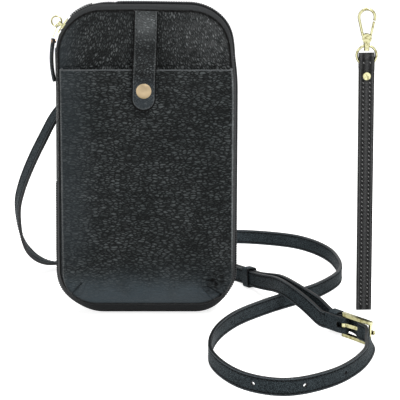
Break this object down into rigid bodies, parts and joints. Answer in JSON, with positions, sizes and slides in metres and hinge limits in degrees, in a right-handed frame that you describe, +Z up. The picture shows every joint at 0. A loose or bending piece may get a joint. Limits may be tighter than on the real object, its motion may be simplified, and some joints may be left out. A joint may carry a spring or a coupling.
{
  "type": "phone pouch",
  "caption": "Slim leather phone pouch that zips round its rim, with a slip pocket, a snap tab, a buckled crossbody strap and a clip-on wristlet.",
  "frame": {"origin": "middle of the flat foot of the closed pouch, on the ground", "axes": "+Z up, the front with the slip pocket faces -Y, +X to the right as seen from the front"},
  "size_m": [0.2279, 0.2868, 0.1937],
  "materials": {
    "pebbled_leather": "satin pebbled grain",
    "strap_leather": "satin smooth grain with painted edges",
    "lining_fabric": "matt twill",
    "zip_tape": "matt woven tape",
    "zip_teeth": "matt",
    "gold": "polished",
    "rose_gold": "polished"
  },
  "bodies": {
    "pouch": {"back_panel": "pebbled_leather", "back_lining": "lining_fabric", "spine": "pebbled_leather", "back_tape": "zip_tape", "back_teeth": "zip_teeth", "zip_stops": "gold", "card_slot_1": "lining_fabric", "card_slot_2": "lining_fabric", "card_slot_3": "lining_fabric", "left_ring_tab": "strap_leather", "right_ring_tab": "strap_leather", "left_strap_ring": "gold", "right_strap_ring": "gold", "left_strap_end": "strap_leather", "right_strap_end": "strap_leather", "left_end_rivet": "gold", "right_end_rivet": "gold", "strap_long": "strap_leather", "strap_short": "strap_leather", "buckle_strap_end": "strap_leather", "buckle_frame": "gold", "fixed_keeper": "strap_leather"},
    "front_cover": {"front_panel": "pebbled_leather", "front_lining": "lining_fabric", "front_tape": "zip_tape", "front_teeth": "zip_teeth", "pocket_panel": "pebbled_leather", "pocket_hem": "pebbled_leather", "snap_stud": "gold", "stud_washer": "gold"},
    "snap_tab": {"tab_strap": "strap_leather", "snap_cap": "gold", "snap_socket": "gold"},
    "slider": {"zip_slider": "gold"},
    "ring": {"pull_ring": "gold"},
    "pull": {"zip_pull_link": "gold", "zip_pull_leather": "strap_leather", "zip_pull_rivet": "rose_gold"},
    "prong": {"buckle_prong": "gold"},
    "keeper": {"loose_keeper": "strap_leather"},
    "wristlet": {"wristlet_strap": "strap_leather", "wristlet_rivet": "gold"},
    "swivel_ring": {"wristlet_ring": "gold"},
    "hook": {"snap_hook": "gold", "gate_pin": "gold"},
    "gate": {"hook_gate": "gold"}
  },
  "joints": [
    {"name": "cover_fold", "type": "hinge", "parent": "pouch", "child": "front_cover", "pos_m": [-0.053, -0.01, 0.1], "axis": [0, 0, -1], "range_deg": [0, 110]},
    {"name": "tab_fold", "type": "hinge", "parent": "front_cover", "child": "snap_tab", "pos_m": [0.00035, -0.0105, 0.1882], "axis": [-0.9994, 0, 0.0349], "range_deg": [0, 100]},
    {"name": "slider_travel", "type": "hinge", "parent": "pouch", "child": "slider", "pos_m": [-0.022, 0, 0.16], "axis": [0, 1, 0], "range_deg": [0, 50]},
    {"name": "ring_swing", "type": "hinge", "parent": "slider", "child": "ring", "pos_m": [-0.05214, 0, 0.18111], "axis": [0, 1, 0], "range_deg": [0, 25]},
    {"name": "pull_swing", "type": "hinge", "parent": "ring", "child": "pull", "pos_m": [-0.05358, 0, 0.17911], "axis": [0, 1, 0], "range_deg": [0, 35]},
    {"name": "prong_turn", "type": "hinge", "parent": "pouch", "child": "prong", "pos_m": [0.1182, -0.047, 0.0073], "axis": [0, 0, 1], "range_deg": [0, 10]},
    {"name": "keeper_slide", "type": "slide", "parent": "pouch", "child": "keeper", "axis": [0.4439, -0.8878, 0.1211], "range_m": [-0.005, 0.005]},
    {"name": "wristlet_lift", "type": "slide", "parent": "pouch", "child": "wristlet", "axis": [0, 0, 1], "range_m": [0, 0.03]},
    {"name": "ring_tilt", "type": "hinge", "parent": "wristlet", "child": "swivel_ring", "pos_m": [0.13216, 0, 0.15708], "axis": [0.9998, 0, 0.0175], "range_deg": [-15, 15]},
    {"name": "hook_swivel", "type": "hinge", "parent": "swivel_ring", "child": "hook", "pos_m": [0.13198, 0, 0.16747], "axis": [-0.0175, 0, 0.9998], "continuous": true},
    {"name": "gate_turn", "type": "hinge", "parent": "hook", "child": "gate", "pos_m": [0.1319, 0, 0.17189], "axis": [0, -1, 0], "range_deg": [0, 25], "stiffness_Nm_per_rad": 0.01, "springref_deg": -11.46}
  ]
}
